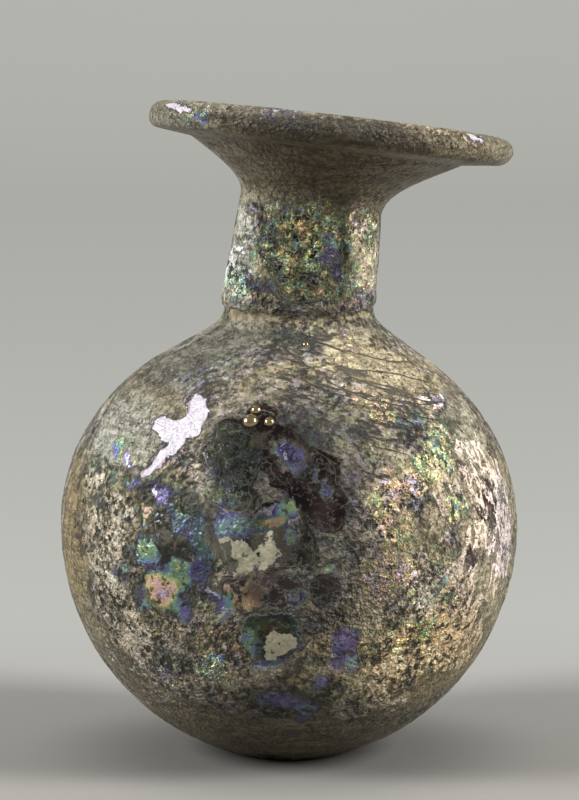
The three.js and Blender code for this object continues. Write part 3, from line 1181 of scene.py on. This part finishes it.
def mirror(g):
    """Mirror-bright patches, and the thin dark rim that each has.

    Their brightness is partly the film's own and partly painted reflection and highlight.
    """
    colour = g.ramp(g.sum((g.swirl, 0.3), (g.hue, 1.0)), MIRROR_AND_HIGHLIGHT_COLOURS)
    colour = g.mix(g.times(g.step(g.dust, 0.56, 0.66), 0.6), colour, MIRROR_SPECK)
    colour = g.scaled(colour, g.sum((g.fine, 1.3), (g.dust, 1.2)))
    whole = g.edge("mirror", 0.45, 0.05)
    rim = g.math("SUBTRACT", whole, g.edge("mirror", 0.45, 0.06, 0.16))
    return Layer(whole, colour, 0.4, 0.2, 0.4), Layer(rim, MIRROR_RIM, 0.4, 0.0, 0.3)


def soil(g):
    """Soil in the crease at the foot of the neck."""
    colour = g.mix(g.step(g.fine, 0.42, 0.6), DARK_SOIL, PALE_SOIL)
    return Layer(g.edge("soil", 0.4, 0.3), colour, 0.8, 0.0, 0.3)


def slants(g):
    """Heights that give each chip of crust or flake its own slant."""
    off_middle = g.vector("SUBTRACT", g.spot, g.chips["Position"])
    slope = g.vector("SUBTRACT", g.chips["Color"], (0.5, 0.5, 0.5))
    return g.vector("DOT_PRODUCT", off_middle, slope, "Value")


def weathered_glass():
    g = Skin("weathered_glass")
    sand, hollow, flake, strip, crack, fold = (
        make(g) for make in (crust, hollows, flakes, strips, cracks, folds)
    )
    seen = ground(g)
    for layer in (smooth_glass(g), bare_glass(g), sand, flake, strip, crack, fold, films(g)):
        seen = g.covered(seen, layer)
    # tinted warm or cool, then times the light of the shades: the skin's own paleness, and painted light
    # and shade
    tinted = g.mix(1.0, seen.colour, g.mix(g.warmth, COOL_TINT, WARM_TINT), "MULTIPLY")
    seen = seen._replace(colour=g.scaled(tinted, g.light))
    for layer in (cream(g), *mirror(g), hollow, soil(g)):
        seen = g.covered(seen, layer)

    raised = g.math("MAXIMUM", g.math("MAXIMUM", sand.mask, flake.mask), strip.mask)
    height = g.sum(
        (g.times(g.sum((g.broad, 0.8), (g.fine, 0.5), (g.grit, 1.5)), seen.bumps), 1.0),
        (raised, 0.07), (hollow.mask, -0.14), (fold.mask, -0.16), (crack.mask, -0.08),
        (g.times(slants(g), g.math("MULTIPLY_ADD", sand.mask, 0.4, flake.mask)), 0.5),
    )
    return g.dressed(
        Base_Color=seen.colour, Roughness=seen.roughness, Metallic=seen.metal, Normal=g.relief(height),
        Specular_IOR_Level=0.35, Sheen_Weight=0.08, Sheen_Roughness=0.4, Sheen_Tint=SHEEN_TINT,
    )


DARK_AMBER, PALE_AMBER = (0.2, 0.13, 0.06), (0.46, 0.36, 0.19)


def bubble_glass():
    g = Graph("bubble_glass")
    amber = g.mix(g.noise(g.place(), 0.8, 3), DARK_AMBER, PALE_AMBER)
    return g.dressed(Base_Color=amber, Metallic=0.8, Roughness=0.16, Coat_Weight=1.0, Coat_Roughness=0.05)


# Floor, light and camera

# Greys of the paper, darker on the floor in front and paler up the wall: painted shading for how the light
# falls on the backdrop
WALL_GREY = (0.365, 0.365, 0.344)
TABLE_GREY = (0.265, 0.265, 0.25)
FLOOR_GREY = (0.226, 0.219, 0.201)
TABLE_FADE = 0.0, 150.0  # how far behind the jar's axis the floor pales from one grey to the next
WALL_FADE = 150.0, 1400.0
FOOT_SHADOW_FADE = 20.0, 52.0  # how far from the jar's axis the painted shadow round its foot fades out
# how bright the floor stays in the painted shadow at the jar's foot
PAINTED_FOOT_SHADOW = 0.62

# The backdrop, in metres
HALF_WIDTH = 2.6
NEAR_EDGE = -3.5
BEND_START = 1.0  # behind the jar, where the floor starts to curve up
BEND_RADIUS = 0.9
WALL_TOP = 2.6
BEND_ANGLES = [math.radians(a) for a in range(6, 91, 6)]


def studio_paper():
    g = Graph("studio_paper")
    place = g.place()
    behind = g.split(place)["Y"]
    paper = g.mix(g.step(behind, *WALL_FADE), TABLE_GREY, WALL_GREY)
    paper = g.mix(g.step(behind, *TABLE_FADE), FLOOR_GREY, paper)
    # a soft painted shadow round the jar's foot
    painted_shadow = g.blend(g.step(g.vector("LENGTH", place, output="Value"), *FOOT_SHADOW_FADE), PAINTED_FOOT_SHADOW, 1.0)
    return g.dressed(Base_Color=g.scaled(paper, painted_shadow), Roughness=0.9, Specular_IOR_Level=0.2)


def backdrop():
    """A pale floor that curves up into a wall behind the jar."""
    profile = [(NEAR_EDGE, 0.0), (BEND_START, 0.0)]
    for angle in BEND_ANGLES:
        profile.append((BEND_START + BEND_RADIUS * math.sin(angle), BEND_RADIUS * (1 - math.cos(angle))))
    profile.append((BEND_START + BEND_RADIUS, WALL_TOP))
    verts = [(x, y, z) for y, z in profile for x in (-HALF_WIDTH, HALF_WIDTH)]
    faces = [(2 * i, 2 * i + 1, 2 * i + 3, 2 * i + 2) for i in range(len(profile) - 1)]
    mesh = bpy.data.meshes.new("backdrop")
    mesh.from_pydata(verts, [], faces)
    mesh.shade_smooth()
    mesh.materials.append(studio_paper())
    floor = bpy.data.objects.new("backdrop", mesh)
    bpy.context.collection.objects.link(floor)


# Soft lights, with places and sizes in metres
Softbox = namedtuple("Softbox", "name place aim width height watts")

JAR_MIDDLE = (0, 0, 0.06)
SOFTBOXES = [
    Softbox("left_softbox", (-0.95, -0.3, 0.62), JAR_MIDDLE, 0.4, 0.6, 21.5),
    Softbox("right_softbox", (0.9, -0.3, 0.6), JAR_MIDDLE, 0.35, 0.6, 21),
    Softbox("wall_light", (0, 0.75, 1.7), (0, 1.9, 0.4), 1.8, 0.8, 20),
]
ROOM_COLOUR = (0.8, 0.82, 0.8, 1.0)
ROOM_STRENGTH = 0.22


def hang(softbox):
    light = bpy.data.lights.new(softbox.name, "AREA")
    light.shape = "RECTANGLE"
    light.size, light.size_y = softbox.width, softbox.height
    light.energy = softbox.watts
    lamp = bpy.data.objects.new(softbox.name, light)
    lamp.location = softbox.place
    ahead = Vector(softbox.aim) - Vector(softbox.place)
    lamp.rotation_euler = ahead.to_track_quat("-Z", "Y").to_euler()
    bpy.context.collection.objects.link(lamp)


def lighting():
    world = bpy.data.worlds.new("studio")
    world.use_nodes = True
    room = world.node_tree.nodes["Background"]
    room.inputs["Color"].default_value = ROOM_COLOUR
    room.inputs["Strength"].default_value = ROOM_STRENGTH
    bpy.context.scene.world = world
    for softbox in SOFTBOXES:
        hang(softbox)


LONG_SIDE = 36.0  # of the sensor
PICTURE_HEIGHT = 148.0  # of the picture plane, which fills the frame's height
FRAME_SHIFT = 0.001, 0.037
CLIP_METRES = 0.05, 20


def photograph_camera():
    data = bpy.data.cameras.new("photograph")
    data.sensor_width = LONG_SIDE
    data.lens = LONG_SIDE * float(np.linalg.norm(AIM - EYE)) / PICTURE_HEIGHT
    data.shift_x, data.shift_y = FRAME_SHIFT
    data.clip_start, data.clip_end = CLIP_METRES
    camera = bpy.data.objects.new("photograph", data)
    camera.location = EYE * MM
    camera.rotation_euler = Vector((AIM - EYE) * MM).to_track_quat("-Z", "Y").to_euler()
    bpy.context.collection.objects.link(camera)
    bpy.context.scene.camera = camera


photograph_camera()
lighting()
backdrop()
bpy.context.scene.view_settings.view_transform = "Standard"

points, normals, fields = jar_surface()
jar = bpy.data.objects.new("jar_glass", jar_mesh(points, fields))
bpy.context.collection.objects.link(jar)
jar.data.materials.append(weathered_glass())
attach(jar, "root")
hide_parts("jar")

gold = bubble_glass()
for number, (across, height, radius) in enumerate(BUBBLES):
    dome = bubble(number, across, height, radius, points, normals)
    dome.data.materials.append(gold)
    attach(dome, "root")
